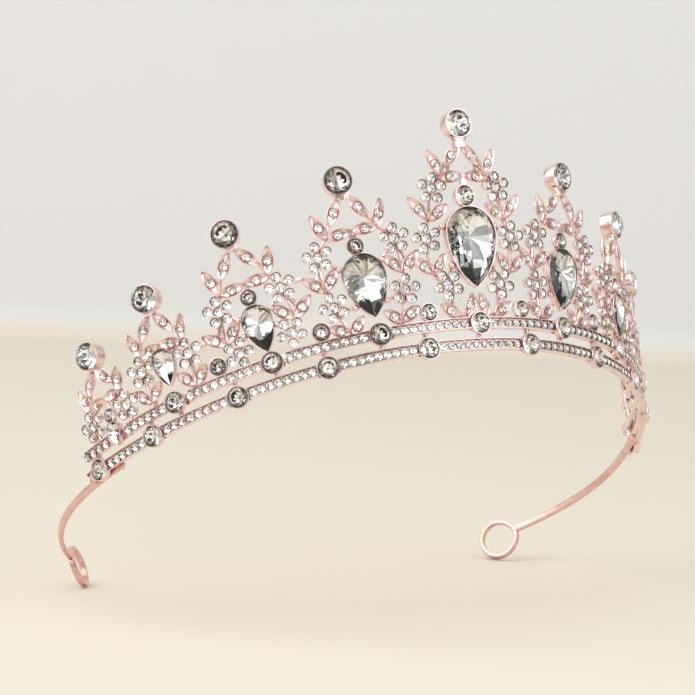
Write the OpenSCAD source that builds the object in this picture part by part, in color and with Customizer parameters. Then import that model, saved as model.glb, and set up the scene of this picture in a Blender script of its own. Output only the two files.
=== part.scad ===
// Bridal tiara: an openwork plate of leaves, flowers and pear stones, bent round the front
// of the head on two stone-set rails, with flat arms that end in eyes for hairpins.
// The ring lies level. X runs from arm to arm, -Y is the front and Z runs up the crests.

/* [Ring] */
// Radius of the ring, from the middle of the head to the middle of a rail
ring_r = 78.8; // [72:0.2:88]
// Forward lean of the plate at its front; it fades towards the sides
flare = 19.5; // [8:0.5:24]
// Length of the rails along the ring, from the centre to each end
rail_run = 107.6; // [106:0.2:112]

/* [Rails] */
// Height of the upper rail above the lower one
rail_rise = 4.8; // [4.4:0.1:5.2]
// Height of a rail's face
rail_h = 2.8; // [2.6:0.1:3]
// Depth of a rail from front to back
rail_t = 2; // [1.8:0.1:2.4]
// Lean of the rails' faces
rail_lean = 12; // [6:1:16]
// Thickness of the lips that hold the small stones in the rails
lip = 0.4; // [0.3:0.05:0.45]
// Depth of the channel that the small stones stand in
channel = 0.7; // [0.5:0.05:0.8]
// Distance from one small rail stone to the next
pave_pitch = 2.1; // [2.05:0.05:2.5]

/* [Crests] */
// Height of the centre crest stone above the lower rail
crest_rise = 53.6; // [52.5:0.1:54.5]
// Distance along the ring from one crest to the next, over the three inner pairs
crest_pitch = 25.4; // [24.8:0.1:26]
// Width of a crest stone
crest_d = 6.3; // [5:0.1:6.8]
// Depth of a crest stone's cup
cup_h = 3.2; // [2.6:0.1:3.8]
// Width of the round stems that join the leaves and flowers
stem_d = 1.1; // [0.8:0.05:1.3]

/* [Leaves] */
// Width of a leaf
leaf_w = 3; // [2.4:0.1:3.2]
// Thickness of a leaf
leaf_t = 1.1; // [0.9:0.05:1.3]
// Rim left round the dished face of a leaf
leaf_rim = 0.45; // [0.25:0.05:0.5]
// Width of the stone in a leaf
leaf_gem = 1.9; // [1.6:0.1:2]

/* [Flowers] */
// Width of a flower's stones
flower_gem = 2.1; // [1.8:0.1:2.2]
// Distance from a flower's middle to a petal's middle
petal_reach = 2.65; // [2.5:0.05:2.8]

/* [Settings] */
// Wall of the round and pear-shaped settings
wall = 0.4; // [0.35:0.05:0.6]
// Width of the large rail stones
rail_gem = 4.8; // [4:0.1:5]
// Width of the stones in the dips between the crests
dip_gem = 3.8; // [3.2:0.1:4]

/* [Arms] */
// Width of the flat arms
arm_w = 1.8; // [1.5:0.1:2.2]
// Thickness of the flat arms
arm_t = 1.2; // [1:0.1:1.4]
// Radius of the bend that takes each arm inwards behind the ears
arm_r = 46; // [40:1:60]
// Bore of the eye at each arm's end
eye_bore = 8; // [6.6:0.1:8.6]
// Height of the arms' middle lines below the lower rail's
arm_drop = 1; // [0:0.1:1.4]
// Width of an eye over its outside
eye_d = 10.6; // [9.6:0.1:11.4]
// Length of an eye's bore
eye_t = 1.5; // [1.3:0.1:1.8]

/* [Hidden] */
$fn = 48;
SIDES = ["left", "right"];
// How far a bead or a drop's cup would reach into the pear setting that it is cut to meet
bite = 0.15;
// Height at which the crests' drawing stands on the upper rail; all its heights count from there
foot_y = 4.8;
// Distance along the ring to each crest's middle, its height and its fanning tilt
CREST_U = [0, crest_pitch - 0.5, 2 * crest_pitch - 0.1, 3 * crest_pitch + 0.3, 94.8];
CREST_V = [crest_rise - rail_rise + foot_y, 43.1, 37.9, 31.2, 26.3];
CREST_TILT = [0, 3.5, 3, -4, 0];
// Width, length and middle height of each crest's pear stone
PEAR_W = [13.2, 10, 6.9, 5.1, 3.6];
PEAR_H = [19.2, 14.9, 11.2, 8.8, 5.4];
PEAR_V = [23.5, 17.1, foot_mid(2) + rail_gem / 2 + 2 * wall + PEAR_H[2] / 2 - bite,
    13.7, 5.6];
// Width of the round stone above each pear; the fourth crest has none
DROP_D = [4.7, 3.5, 3.5, 0, 3];
// Leaves of each crest: distance from its middle, height, direction of the tip, length
LEAVES = [
    [[2.6, 46, 132, 7], [7.4, 44.1, 63, 7.4], [3.6, 40.7, 176, 7],
     [12.8, 33.5, 51, 7.6], [8.1, 32.2, 147, 6.7], [12.9, 19.6, 39, 6.8],
     [9, 19.7, 126, 6.1], [1.8, 9.6, 108, 5.8], [7.1, 8.5, 32, 6.2]],
    [[3, 36, 122, 7], [7.5, 33.4, 72, 7], [3.3, 30.5, 177, 6.7],
     [11.8, 20.4, 45, 6.8], [7.8, 20.7, 134, 6.3], [4.6, 8.4, 138, 5.7],
     [8.8, 8.3, 30, 5.5]],
    [[2.9, 30.8, 127, 6.9], [7.3, 28.3, 73, 7], [3.2, 24.8, 177, 6.5],
     [11.2, 15.1, 40, 6.8], [6.4, 15.4, 134, 5.8]],
    [[2.75, 24.3, 125, 6.6], [6.6, 21.5, 75, 6.7], [3, 18.8, 168, 6.1],
     [8.2, 9.1, 48, 5.5], [4.3, 9.2, 135, 5.5]],
    [[2.5, 19.9, 124, 6.2], [6, 17.2, 76, 6.3], [2.85, 14.4, 172, 5.8]]];
// Flowers of each crest: distance from its middle, height, turn of the first petal
FLOWERS = [
    [[9, 38.1, 26], [11.7, 26.2, 9], [7.2, 14.6, 60]],
    [[9.6, 26.7, 18], [8.9, 14.2, 6]],
    [[7.9, 21.2, 22], [6.7, 10.2, 44]],
    [[6.6, 15, 20]],
    [[6, 10.4, 10]]];
// Plain beads that hold each crest's pear setting: height and the flower that each is tied to
BEADS = [[[28.8, 1], [19.2, 2]], [[22.4, 0], [12.6, 1]], [[17.4, 0], [13.2, 1]],
    [], []];
// Main stem of each crest's half, from the rail to the crest's cup
STEMS = [
    [[5.7, 5.5], [7.2, 14.6], [10.6, 17.6], [11.7, 26.2], [10.5, 30.7], [9, 38.1], [6.8, 40.7],
     [4.8, 43.5], [1.3, 47.6]],
    [[6, 5.5], [8.9, 14.2], [9.7, 18.3], [9.6, 26.5], [6.6, 30.4], [4.9, 33.2], [1.4, 38.1]],
    [[5.7, 5.5], [6.7, 10.2], [8.9, 13.2], [7.9, 21.2], [6.4, 24.9], [5, 28.2], [1.1, 33]],
    [[6.2, 5.5], [6.6, 15], [5.9, 18.3], [4.8, 21.8], [1.1, 26.6]],
    [[5.3, 5.5], [6, 10.4], [5.7, 14.4], [4.3, 17.5], [1, 22]]];
// Short ties in both halves of a crest
TIES = [
    [[[2.4, 7.4], [6, 7.4]], [[3.7, 44.2], [3.7, 41.2]]],
    [[[10.4, 24.3], [11.3, 21.4]]],
    [[[8.9, 19.2], [10, 16.4]]],
    [[[6.2, 5.5], [4.3, 9.2]], [[6.2, 5.5], [8.2, 9.1]]],
    []];
// Bars to the neighbouring crest nearer the tiara's centre
BARS = [[], [], [[-7.9, 21.4], [-13.3, 21.6]], [[-6.6, 15.1], [-11.6, 15.9]], []];
// Distance along the ring to the large stones of the lower rail
LOW_U = [14.1, 38.9, 61.2, 84.7, 103];
DIP_U = [12.5, 38.3, 63.4];
bead_d = 1.6;
post_w = 1.5;
// Small gap round a stone in its setting
ease = 0.02;
cup_r = crest_d / 2 + wall;
rail_cup_r = rail_gem / 2 + wall;
petal_r = flower_gem / 2 + 0.33;
pave_gem = rail_h - 2 * lip - 0.1;
rail_floor = rail_t / 2 - channel;
// Height of the stones in the dips, whose settings stand on the upper rail
DIP_V = rail_rise / cos(flare) + rail_h / 2 + dip_gem / 2 + wall - bite;
arm_line = ring_r - rail_t / 2 - arm_t / 2;
arm_from = 98;
arm_turn = 82;
arm_end_turn = 132;
eye_drop = arm_drop + 1;
rail_z = eye_d / 2 + eye_drop;
// Places of a large rail stone's girdle and its cup's back, out from the rail's middle line
cup_floor = 0.55;
rail_gem_out = 0.3 * rail_gem + 0.12 - cup_floor;
arm_mid_r = arm_line - arm_r;
eye_x = arm_mid_r * sin(arm_turn) + arm_r * sin(arm_end_turn) + (eye_d / 2 - 0.3) * cos(arm_end_turn);
eye_y = -arm_mid_r * cos(arm_turn) - arm_r * cos(arm_end_turn) + (eye_d / 2 - 0.3) * sin(arm_end_turn);
// The origin lies midway between the centre crest stone's front and the backs of the eyes
gem_lift = 0.6;
front_y = -ring_r - (crest_rise + 0.3 * crest_d) * sin(flare) - (gem_lift + 0.2 * crest_d) * cos(flare);
back_y = eye_y + eye_d / 2 * sin(arm_end_turn) - eye_t / 2 * cos(arm_end_turn);
mid_y = -(front_y + back_y) / 2;

function turn(u) = u / ring_r * 180 / PI;
function lean(u) = atan(tan(flare) * cos(turn(u)));
function tag(k, s) = k == 0 ? "centre" : str(SIDES[(s + 1) / 2], "_", k);
// The leaning plate is wider round its top than along the rails
function spread(k, y) = 1 + y * sin(lean(CREST_U[k])) / ring_r;
function tilted_u(k, x, y) =
    CREST_U[k] + (x * cos(CREST_TILT[k]) + y * sin(CREST_TILT[k])) / spread(k, y);
// Middle height of the large stone under a crest, in the crests' drawing
function foot_mid(k) = rail_rise / cos(lean(CREST_U[k])) - rail_rise + foot_y;
function tilted_v(k, x, y) =
    rail_rise - foot_y + y * cos(CREST_TILT[k]) - x * sin(CREST_TILT[k]);
// Middle height of the round stone whose cup stands on a crest's pear setting
function drop_v(k) = PEAR_V[k] + (PEAR_H[k] + DROP_D[k]) / 2 + 2 * wall - bite;
// Place of a pear stone's girdle, depth of its point as a share of its width, and how far the
// point lies above its middle as a share of its height
pear_out = 0.55;
pear_deep = 0.14;
pear_up = 0.06;
// Half the width of a crest's pear setting at a height of its drawing
function pear_side(k, y) =
    let (r = PEAR_W[k] / 2 + wall, down = PEAR_V[k] + PEAR_H[k] / 2 + wall - r - y,
         half = 0.985 * r, drop = PEAR_H[k] + 2 * wall - r,
         side_r = (half * half + drop * drop) / (2 * half))
    down < 0 ? sqrt(r * r - down * down) : sqrt(side_r * side_r - down * down) - side_r + half;
function bead_at(k, b) = [pear_side(k, b[0]) + bead_d / 2 - bite, b[0]];
function flip(s, angle) = s > 0 ? angle : 180 - angle;
CREST_KEYS = [for (k = [0:4], s = k == 0 ? [1] : [-1, 1]) [k, s]];
// The crests that stand on a large stone of the upper rail
FOOT_KEYS = [for (c = CREST_KEYS) if (c[0] < 4) c];
NODES = concat(
    ["lower_rail", "upper_rail", "rail_posts", "rail_cups", "dip_settings"],
    [for (c = CREST_KEYS) str(tag(c[0], c[1]), "_crest")],
    [for (c = CREST_KEYS) str(tag(c[0], c[1]), "_crest_cup")],
    [for (c = CREST_KEYS) str(tag(c[0], c[1]), "_pear_setting")],
    ["crest_stones", "pear_stones", "drop_stones", "dip_stones", "rail_stones"],
    ["lower_pave_stones", "upper_pave_stones"],
    ["centre_flower_stones", "left_flower_stones", "right_flower_stones"],
    ["centre_leaf_stones", "left_leaf_stones", "right_leaf_stones"],
    ["left_arm", "right_arm", "left_eye", "right_eye"]);
node = "all";

// Moves children from the ring's own centre, level with the lower rail, to the tiara's origin
module on_ring() translate([0, mid_y, rail_z]) children();

// Stands children on the plate u along the ring and v up it, facing outwards along +Z
module at(u, v = 0, out = 0, spin = 0)
    on_ring() rotate(turn(u)) translate([0, -ring_r, 0]) rotate([lean(u), 0, 0])
        translate([0, -out, v]) rotate([90, 0, 0]) rotate(spin) children();

// The same, in a crest's own coordinates: x from its middle, away from the tiara's centre
module in_crest(k, s, x, y, out = 0, spin = 0)
    at(s * tilted_u(k, x, y), tilted_v(k, x, y), out, flip(s, spin - CREST_TILT[k])) children();

// Upright children on the middle line of a crest
module mid_crest(k, s, y, out = 0) in_crest(k, s, 0, y, out, 90) rotate(-90) children();

// Both halves of a crest
module both_halves(k, s, x, y, out = 0, spin = 0) {
    in_crest(k, s, x, y, out, spin) children();
    in_crest(k, s, -x, y, out, 180 - spin) children();
}

// Stands children on the upper rail
module on_upper(u, out = 0) at(u, rail_rise / cos(lean(u)), out) children();
module on_crest_foot(k, s, out = 0) on_upper(s * tilted_u(k, 0, foot_y), out) children();

// Round stone with its girdle at z = 0: a flat table above, a point below
module gem(d) rotate_extrude()
    polygon([[0, -0.3 * d], [0.5 * d, 0], [0.5 * d, 0.04 * d], [0.3 * d, 0.2 * d], [0, 0.2 * d]]);

// Outline of a pear shape w wide and h long: round at the top, its sides curved to a point
module pear(w, h) {
    r = w / 2;
    drop = h - r;
    half = 0.985 * r;
    side_r = (half * half + drop * drop) / (2 * half);
    translate([0, h / 2 - r]) {
        circle(r);
        intersection() {
            intersection_for (s = [-1, 1]) translate([s * (side_r - half), 0]) circle(side_r);
            translate([-r, -drop]) square([w, drop]);
        }
    }
}

module pear_gem(w, h) hull() {
    linear_extrude(0.4) pear(w, h);
    translate([0, h * pear_up, 0]) linear_extrude(0.17 * w) pear(w * 0.55, h * 0.55);
    translate([0, h * pear_up, 0.05 - pear_deep * w]) cube([0.2, 0.2, 0.1], center = true);
}

// Cup with a seat for a round stone, open in front; z = 0 is the stone's girdle
module cup(d, below, above = 0.35) difference() {
    translate([0, 0, -below]) cylinder(r = d / 2 + wall, h = below + above);
    translate([0, 0, -0.05]) cylinder(r = d / 2 + ease, h = above + 1);
    translate([0, 0, -0.3 * d - 0.1]) cylinder(r1 = ease, r2 = d / 2 + ease, h = 0.3 * d + 0.05);
}

// Outline of a leaf, pointed at both ends
module leaf_outline(length, width) {
    r = (length * length + width * width) / (4 * width);
    intersection_for (s = [-1, 1]) translate([0, s * (r - width / 2)]) circle(r, $fn = 96);
}

// Dished leaf with a raised rim, its tip along +X and a seat for its stone
module leaf(length) difference() {
    union() {
        difference() {
            translate([0, 0, -leaf_t / 2]) linear_extrude(leaf_t) leaf_outline(length, leaf_w);
            translate([0, 0, leaf_t / 2 - 0.4]) linear_extrude(1)
                leaf_outline(length - 4 * leaf_rim, leaf_w - 2 * leaf_rim);
        }
        translate([0, 0, -leaf_t / 2 + 0.1]) cylinder(d = leaf_gem + 0.4, h = leaf_t);
    }
    translate([0, 0, 0.2]) cylinder(d = leaf_gem + 2 * ease, h = 1);
}

// Five petal cups round a middle one
module petals(spin) {
    children();
    for (i = [0:4]) rotate(spin + 72 * i) translate([petal_reach, 0, 0]) children();
}

module flower_cup() difference() {
    translate([0, 0, -0.7]) cylinder(r = petal_r, h = 1.5);
    translate([0, 0, 0.3]) cylinder(d = flower_gem + 2 * ease, h = 1);
}

// Flat-bottomed stone for the leaf and flower seats and the rail channels
module chip(d) rotate_extrude($fn = 24)
    polygon([[0, 0], [0.5 * d, 0], [0.5 * d, 0.25], [0.28 * d, 0.2 * d + 0.25], [0, 0.2 * d + 0.25]]);

// Round stem between two places of a crest, behind its leaves and flowers
module stem(k, s, from, to) {
    across = to[0] - from[0];
    up = to[1] - from[1];
    in_crest(k, s, (from[0] + to[0]) / 2, (from[1] + to[1]) / 2, -0.35, atan2(up, across))
        rotate([0, 90, 0])
            cylinder(d = stem_d, h = norm([across, up]) + 0.6, center = true, $fn = 24);
}

module both_stems(k, s, from, to) for (side = [-1, 1])
    stem(k, s, [side * from[0], from[1]], [side * to[0], to[1]]);

module crest_metal(k, s) {
    for (l = LEAVES[k]) both_halves(k, s, l[0], l[1], 0, l[2]) leaf(l[3]);
    for (f = FLOWERS[k]) both_halves(k, s, f[0], f[1], 0, f[2]) petals(0) flower_cup();
    for (b = BEADS[k]) {
        both_halves(k, s, bead_at(k, b)[0], b[0], 0.3) sphere(d = bead_d, $fn = 24);
        both_stems(k, s, bead_at(k, b), FLOWERS[k][b[1]]);
    }
    for (i = [1:len(STEMS[k]) - 1]) both_stems(k, s, STEMS[k][i - 1], STEMS[k][i]);
    for (t = TIES[k]) both_stems(k, s, t[0], t[1]);
    if (len(BARS[k]) > 0) stem(k, s, BARS[k][0], BARS[k][1]);
    neck(k, s);
    if (DROP_D[k] > 0) drop_link(k, s);
}

// Tapered neck under a crest stone's cup
module neck(k, s) {
    foot = STEMS[k][len(STEMS[k]) - 1];
    top = CREST_V[k] - cup_r + 0.4;
    mid_crest(k, s, (top + foot[1]) / 2, -0.9) linear_extrude(1.3)
         square([2 * foot[0] + 0.8, top - foot[1] + 0.9], center = true);
}

// Round cup of the stone above the pear, with the short link that hangs it
module drop_link(k, s) {
    bottom = drop_v(k) + DROP_D[k] / 2 + wall / 2;
    top = LEAVES[k][2][1] + 0.6;
    mid_crest(k, s, drop_v(k)) cup(DROP_D[k], 0.3 * DROP_D[k] + 0.2);
    mid_crest(k, s, (top + bottom) / 2, -0.5) linear_extrude(0.9)
        square([1.4, top - bottom], center = true);
}

// Everything of a crest's casting, cut clear of the pear setting, the cup and the rail
module crest(k, s) color([0.87, 0.63, 0.57]) difference() {
    crest_metal(k, s);
    mid_crest(k, s, PEAR_V[k], -3) linear_extrude(7)
        pear(PEAR_W[k] + 2 * wall + ease, PEAR_H[k] + 2 * wall + ease);
    mid_crest(k, s, CREST_V[k], -5) cylinder(r = cup_r, h = 9);
    if (DROP_D[k] > 0) mid_crest(k, s, drop_v(k), -0.05) cylinder(r = DROP_D[k] / 2 + ease, h = 3);
    if (k < 4) on_crest_foot(k, s, -3) cylinder(r = rail_cup_r, h = 7);
    for (u = DIP_U, d = [-1, 1]) if (abs(d * u - s * CREST_U[k]) < crest_pitch)
        at(d * u, DIP_V, -5) cylinder(r = dip_gem / 2 + wall, h = 9);
    upper_line() strip(rail_run + 2);
}

module crest_cup(k, s) color([0.88, 0.65, 0.58])
    mid_crest(k, s, CREST_V[k], gem_lift) cup(crest_d, cup_h);

// Stands children on the foot stone's place, seen from the middle of a crest's pear
module on_foot_of(k) translate([0, foot_mid(k) - PEAR_V[k], 0]) children();

// Setting whose stepped seat follows the back of its pear stone
module pear_setting(k, s) color([0.85, 0.61, 0.54]) mid_crest(k, s, PEAR_V[k]) difference() {
    translate([0, 0, -0.9]) linear_extrude(2.2) pear(PEAR_W[k] + 2 * wall, PEAR_H[k] + 2 * wall);
    for (share = [0.88, 0.76])
        translate([0, (0.88 - share) * pear_up * PEAR_H[k],
                   pear_out - (1 - share) * pear_deep * PEAR_W[k] - ease])
            linear_extrude(3) pear((share + 0.12) * PEAR_W[k] + 2 * ease,
                                   (share + 0.12) * PEAR_H[k] + 2 * ease);
    translate([0, 0.24 * pear_up * PEAR_H[k], -2]) linear_extrude(4)
        pear(PEAR_W[k] * 0.76, PEAR_H[k] * 0.76);
    if (k < 4) on_foot_of(k) cylinder(r = rail_cup_r + ease, h = 9, center = true);
}

// Moves children from the lower rail's line to the upper rail's
module upper_line() on_ring() translate([0, -rail_rise * tan(flare), rail_rise]) children();

// Plain rail strip along the ring, leaning with the plate
module strip(run) rotate(-90 - turn(run)) rotate_extrude(angle = 2 * turn(run), $fn = 192)
    translate([ring_r, 0]) rotate(-rail_lean) square([rail_t, rail_h], center = true);

// Rail strip with a channel along its face
module channelled_strip(run) difference() {
    strip(run);
    rotate(-90 - turn(run - 0.5)) rotate_extrude(angle = 2 * turn(run - 0.5), $fn = 192)
        translate([ring_r, 0]) rotate(-rail_lean) translate([rail_floor, lip - rail_h / 2])
            square([channel + 1, rail_h - 2 * lip]);
}

module lower_rail() color([0.86, 0.62, 0.55]) difference() {
    on_ring() channelled_strip(rail_run);
    for (u = LOW_U, s = [-1, 1]) at(s * u, 0, -cup_floor) cylinder(r = rail_cup_r + ease, h = 5);
}

module upper_rail() color([0.86, 0.62, 0.55]) difference() {
    upper_line() channelled_strip(rail_run);
    for (c = FOOT_KEYS) on_crest_foot(c[0], c[1], -cup_floor)
        cylinder(r = rail_cup_r + ease, h = 5);
    for (s = [-1, 1]) mid_crest(4, s, PEAR_V[4], -0.95) linear_extrude(5)
        pear(PEAR_W[4] + 2 * wall, PEAR_H[4] + 2 * wall);
}

// Short posts that tie the two rails, one at each large stone of the lower rail and each crest
module rail_posts() color([0.84, 0.6, 0.53]) difference() {
    for (u = concat(LOW_U, [for (k = [0:3]) tilted_u(k, 0, foot_y)]), s = u == 0 ? [1] : [-1, 1])
        at(s * u, rail_rise / cos(lean(u)) / 2, -rail_t / 2) linear_extrude(0.9)
            square([post_w, rail_rise - rail_h + 0.8], center = true);
    on_ring() strip(rail_run);
    upper_line() strip(rail_run);
    for (u = LOW_U, s = [-1, 1]) at(s * u, 0, -cup_floor) cylinder(r = rail_cup_r + ease, h = 5);
    for (c = FOOT_KEYS) on_crest_foot(c[0], c[1], -cup_floor)
        cylinder(r = rail_cup_r + ease, h = 5);
}

module rail_cups() color([0.88, 0.65, 0.58]) {
    for (u = LOW_U, s = [-1, 1]) at(s * u, 0, rail_gem_out) cup(rail_gem, rail_gem_out + cup_floor);
    for (c = FOOT_KEYS) on_crest_foot(c[0], c[1], rail_gem_out)
        cup(rail_gem, rail_gem_out + cup_floor);
}

module dip_settings() color([0.88, 0.65, 0.58]) difference() {
    for (u = DIP_U, s = [-1, 1]) at(s * u, DIP_V, 0.2) cup(dip_gem, 0.3 * dip_gem + 0.2);
    upper_line() strip(rail_run);
}

module crest_stones() color([0.93, 0.95, 0.96])
    for (c = CREST_KEYS) mid_crest(c[0], c[1], CREST_V[c[0]], gem_lift) gem(crest_d);

module pear_stones() color([0.93, 0.95, 0.96])
    for (c = CREST_KEYS) mid_crest(c[0], c[1], PEAR_V[c[0]], pear_out)
        pear_gem(PEAR_W[c[0]], PEAR_H[c[0]]);

module drop_stones() color([0.93, 0.95, 0.96])
    for (c = CREST_KEYS) if (DROP_D[c[0]] > 0)
        mid_crest(c[0], c[1], drop_v(c[0])) gem(DROP_D[c[0]]);

module dip_stones() color([0.93, 0.95, 0.96])
    for (u = DIP_U, s = [-1, 1]) at(s * u, DIP_V, 0.2) gem(dip_gem);

module rail_stones() color([0.93, 0.95, 0.96]) {
    for (u = LOW_U, s = [-1, 1]) at(s * u, 0, rail_gem_out) gem(rail_gem);
    for (c = FOOT_KEYS) on_crest_foot(c[0], c[1], rail_gem_out) gem(rail_gem);
}

// Places of a rail's small stones: even rows between neighbouring large stones
function row_between(a, b) =
    let (free = b - a - 2 * rail_cup_r, count = max(0, floor((free + 0.3) / pave_pitch)))
    [for (i = [0:1:count - 1]) (a + b) / 2 + (i - (count - 1) / 2) * free / max(count, 1)];
function rows(stops) = [for (i = [1:len(stops) - 1]) each row_between(stops[i - 1], stops[i])];
LOW_STOPS = concat([-LOW_U[0]], LOW_U, [rail_run + rail_cup_r - 0.4]);
UP_STOPS = concat([for (k = [0:4]) tilted_u(k, 0, foot_y)], [rail_run + rail_cup_r - 0.4]);

module pave(u, v) at(u, v) rotate([rail_lean - lean(u), 0, 0])
    translate([0, 0, rail_floor + 0.03]) chip(pave_gem);

module lower_pave_stones() color([0.93, 0.95, 0.96]) {
    for (u = row_between(LOW_STOPS[0], LOW_STOPS[1])) pave(u, 0);
    for (u = rows([for (i = [1:len(LOW_STOPS) - 1]) LOW_STOPS[i]]), s = [-1, 1]) pave(s * u, 0);
}

module upper_pave_stones() color([0.93, 0.95, 0.96])
    for (u = rows(UP_STOPS), s = [-1, 1]) pave(s * u, rail_rise / cos(lean(u)));

module flower_stones(keys) color([0.93, 0.95, 0.96])
    for (c = keys, f = FLOWERS[c[0]])
        both_halves(c[0], c[1], f[0], f[1], 0.32, f[2]) petals(0) chip(flower_gem);

module leaf_stones(keys) color([0.93, 0.95, 0.96])
    for (c = keys, l = LEAVES[c[0]]) both_halves(c[0], c[1], l[0], l[1], 0.22, l[2]) chip(leaf_gem);

// Flat strip bent round an arc of radius r, from one turn to another
module bent_strip(r, from, to) rotate(from - 90) rotate_extrude(angle = to - from, $fn = 192)
    translate([r, 0]) square([arm_t, arm_w], center = true);

// Flat arm: behind the rail's end first, then bent inwards, its inner end rounded
module arm(s) color([0.84, 0.58, 0.51]) difference() {
    arm_strip(s);
    on_ring() strip(rail_run);
    on_eye(s) cylinder(d = eye_d, h = eye_t + 2, center = true);
}

module arm_strip(s) on_ring() mirror([s < 0 ? 1 : 0, 0, 0]) translate([0, 0, -arm_drop]) {
    bent_strip(arm_line, turn(arm_from), arm_turn + 0.5);
    rotate(arm_turn - 90) translate([arm_mid_r, 0, 0]) rotate(90 - arm_turn)
        bent_strip(arm_r, arm_turn, arm_end_turn);
    rotate(turn(arm_from) - 90) translate([arm_line - arm_t / 2, 0, -0.6]) rotate([0, 90, 0])
        cylinder(d = arm_w + 0.6, h = arm_t - 0.1);
}

module on_eye(s) on_ring() mirror([s < 0 ? 1 : 0, 0, 0])
    translate([eye_x, eye_y, -eye_drop]) rotate(arm_end_turn) rotate([90, 0, 0]) children();

module eye(s) color([0.84, 0.58, 0.51]) on_eye(s) difference() {
    cylinder(d = eye_d, h = eye_t, center = true);
    cylinder(d = eye_bore, h = eye_t + 1, center = true);
}

function wanted(name) = node == "all" || node == name;
LEFT = [for (c = CREST_KEYS) if (c[0] > 0 && c[1] < 0) c];
RIGHT = [for (c = CREST_KEYS) if (c[0] > 0 && c[1] > 0) c];

if (wanted("lower_rail")) lower_rail();
if (wanted("upper_rail")) upper_rail();
if (wanted("rail_posts")) rail_posts();
if (wanted("rail_cups")) rail_cups();
if (wanted("dip_settings")) dip_settings();
for (c = CREST_KEYS) {
    if (wanted(str(tag(c[0], c[1]), "_crest"))) crest(c[0], c[1]);
    if (wanted(str(tag(c[0], c[1]), "_crest_cup"))) crest_cup(c[0], c[1]);
    if (wanted(str(tag(c[0], c[1]), "_pear_setting"))) pear_setting(c[0], c[1]);
}
if (wanted("crest_stones")) crest_stones();
if (wanted("pear_stones")) pear_stones();
if (wanted("drop_stones")) drop_stones();
if (wanted("dip_stones")) dip_stones();
if (wanted("rail_stones")) rail_stones();
if (wanted("lower_pave_stones")) lower_pave_stones();
if (wanted("upper_pave_stones")) upper_pave_stones();
if (wanted("centre_flower_stones")) flower_stones([[0, 1]]);
if (wanted("left_flower_stones")) flower_stones(LEFT);
if (wanted("right_flower_stones")) flower_stones(RIGHT);
if (wanted("centre_leaf_stones")) leaf_stones([[0, 1]]);
if (wanted("left_leaf_stones")) leaf_stones(LEFT);
if (wanted("right_leaf_stones")) leaf_stones(RIGHT);
if (wanted("left_arm")) arm(-1);
if (wanted("right_arm")) arm(1);
if (wanted("left_eye")) eye(-1);
if (wanted("right_eye")) eye(1);
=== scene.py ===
# %% [markdown]
# # A bridal tiara in rose-gold plate and crystal
# The tiara is an openwork plate: nine crests of leaves and small flowers stand on two rails
# set with stones, and the whole is bent round the front of the head. Two flat springy arms
# go back behind the ears and end in loops for hairpins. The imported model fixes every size
# and place; this lesson gives each piece the finer shape and the finish of the real thing.

import bpy
import numpy as np
from mathutils import Matrix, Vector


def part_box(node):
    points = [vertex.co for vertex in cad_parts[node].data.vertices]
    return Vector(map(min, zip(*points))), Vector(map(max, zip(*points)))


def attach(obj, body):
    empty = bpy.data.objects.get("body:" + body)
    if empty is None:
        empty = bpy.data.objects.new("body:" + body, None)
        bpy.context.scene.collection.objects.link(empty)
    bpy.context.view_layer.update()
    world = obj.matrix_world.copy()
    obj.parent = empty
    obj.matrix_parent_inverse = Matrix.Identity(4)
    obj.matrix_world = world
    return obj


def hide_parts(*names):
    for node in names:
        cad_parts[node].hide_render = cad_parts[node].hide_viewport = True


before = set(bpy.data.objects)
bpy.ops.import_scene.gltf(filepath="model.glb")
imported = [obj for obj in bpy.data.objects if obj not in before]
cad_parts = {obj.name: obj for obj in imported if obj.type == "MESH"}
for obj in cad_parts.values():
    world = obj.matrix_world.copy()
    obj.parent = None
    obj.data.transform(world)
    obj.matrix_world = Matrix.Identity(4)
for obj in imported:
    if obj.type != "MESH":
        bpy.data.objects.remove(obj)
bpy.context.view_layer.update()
print("packed nodes:", len(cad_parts))

# %% [markdown]
# ## One way to stand a piece on the bent plate
# A jeweller lays the pieces out flat and then bends the plate. We do the same with numbers:
# u is the distance along the ring from the centre, v the height up the plate and out the
# distance in front of it, all in millimetres. A small matrix for each pair of u and v turns
# flat work into its place, so one template can be set hundreds of times with no loop over
# points. The ring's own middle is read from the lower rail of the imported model.

# %% Layout of the plate
MM = 0.001
RING_R = 78.8
FLARE = np.radians(19.5)
RAIL_RUN, RAIL_RISE = 107.6, 4.8
RAIL_H, RAIL_T, RAIL_LEAN = 2.8, 2.0, np.radians(12)
LIP, CHANNEL, PAVE_PITCH = 0.4, 0.7, 2.1
WALL, BITE = 0.4, 0.15
RAIL_GEM, CUP_FLOOR = 4.8, 0.55
RAIL_GEM_OUT = 0.3 * RAIL_GEM + 0.12 - CUP_FLOOR
DIP_GEM = 3.8
DIP_V = RAIL_RISE / np.cos(FLARE) + RAIL_H / 2 + DIP_GEM / 2 + WALL - BITE
CREST_GEM, CREST_CUP_H, GEM_LIFT = 6.3, 3.2, 0.6
FLOWER_GEM, PETAL_REACH, LEAF_GEM = 2.1, 2.65, 1.9
PITCH = 25.4

# How far the stones stand in front of the plate, and the floors of flower cups and leaves
PEAR_LIFT, DIP_LIFT, FLOWER_FLOOR, LEAF_FLOOR = 0.55, 0.2, 0.32, 0.22

low, high = (np.array(corner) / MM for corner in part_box("lower_rail"))
RAIL_Z = (low[2] + high[2]) / 2
HALF_DEPTH = (RAIL_T * np.cos(RAIL_LEAN) + RAIL_H * np.sin(RAIL_LEAN)) / 2
MID_Y = low[1] + RING_R + HALF_DEPTH
print(f"ring's middle: y {MID_Y:.2f} mm, z {RAIL_Z:.2f} mm")


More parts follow.
